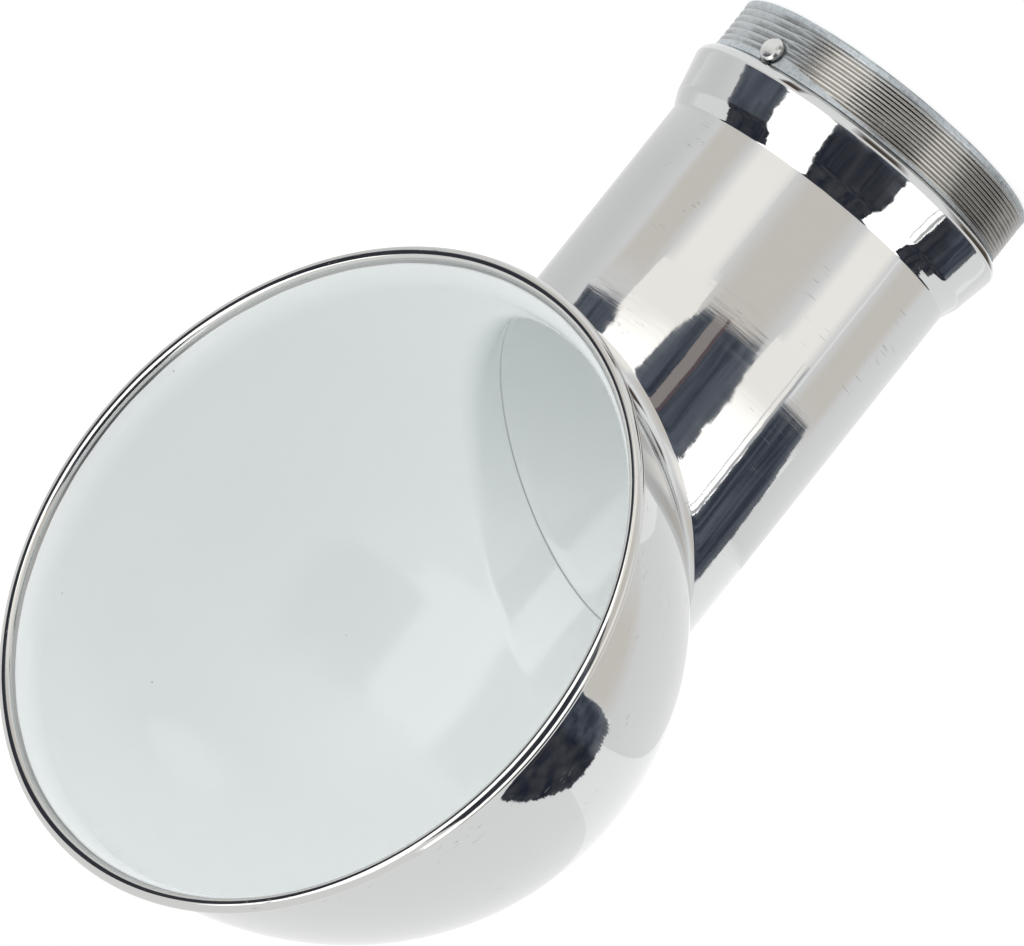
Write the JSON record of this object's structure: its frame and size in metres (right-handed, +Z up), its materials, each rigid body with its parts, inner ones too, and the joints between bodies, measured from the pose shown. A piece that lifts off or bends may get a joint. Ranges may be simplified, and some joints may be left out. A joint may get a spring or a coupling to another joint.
{
  "type": "cowl ventilator",
  "caption": "Polished cowl ventilator for a boat deck: round flared mouth, deep bowl, tubular neck, collar and threaded ring with a spring-loaded locking pin.",
  "frame": {"origin": "centre of the threaded ring's free end", "axes": "+Z up the neck axis towards the bowl, -Y the way the mouth looks, +X to the right of a viewer who looks along +Y into the mouth"},
  "size_m": [0.2148, 0.1299, 0.3264],
  "materials": {
    "polished_steel": "mirror-polished stainless sheet",
    "bead_steel": "polished stainless bar",
    "weld_steel": "ground flush and polished",
    "white_enamel": "gloss white baked enamel",
    "cast_steel": "machined casting, dull",
    "braze": "as flowed",
    "pin_steel": "turned",
    "spring_steel": "drawn wire",
    "plug_brass": "turned"
  },
  "bodies": {
    "cowl": {"cowl_bowl": "polished_steel", "rim_ring": "bead_steel", "bowl_enamel": "white_enamel", "neck_weld": "weld_steel", "neck_tube": "polished_steel", "neck_enamel": "white_enamel", "threaded_ring": "cast_steel", "ring_braze": "braze", "pin_spring": "spring_steel", "spring_plug": "plug_brass"},
    "locking_pin": {"lock_pin": "pin_steel"}
  },
  "joints": [
    {"name": "pin_travel", "type": "slide", "parent": "cowl", "child": "locking_pin", "axis": [-0.061, 0.9981, 0], "range_m": [0, 0.0026], "stiffness_N_per_m": 600, "springref_m": -0.008, "deforming": ["pin_spring"]}
  ]
}
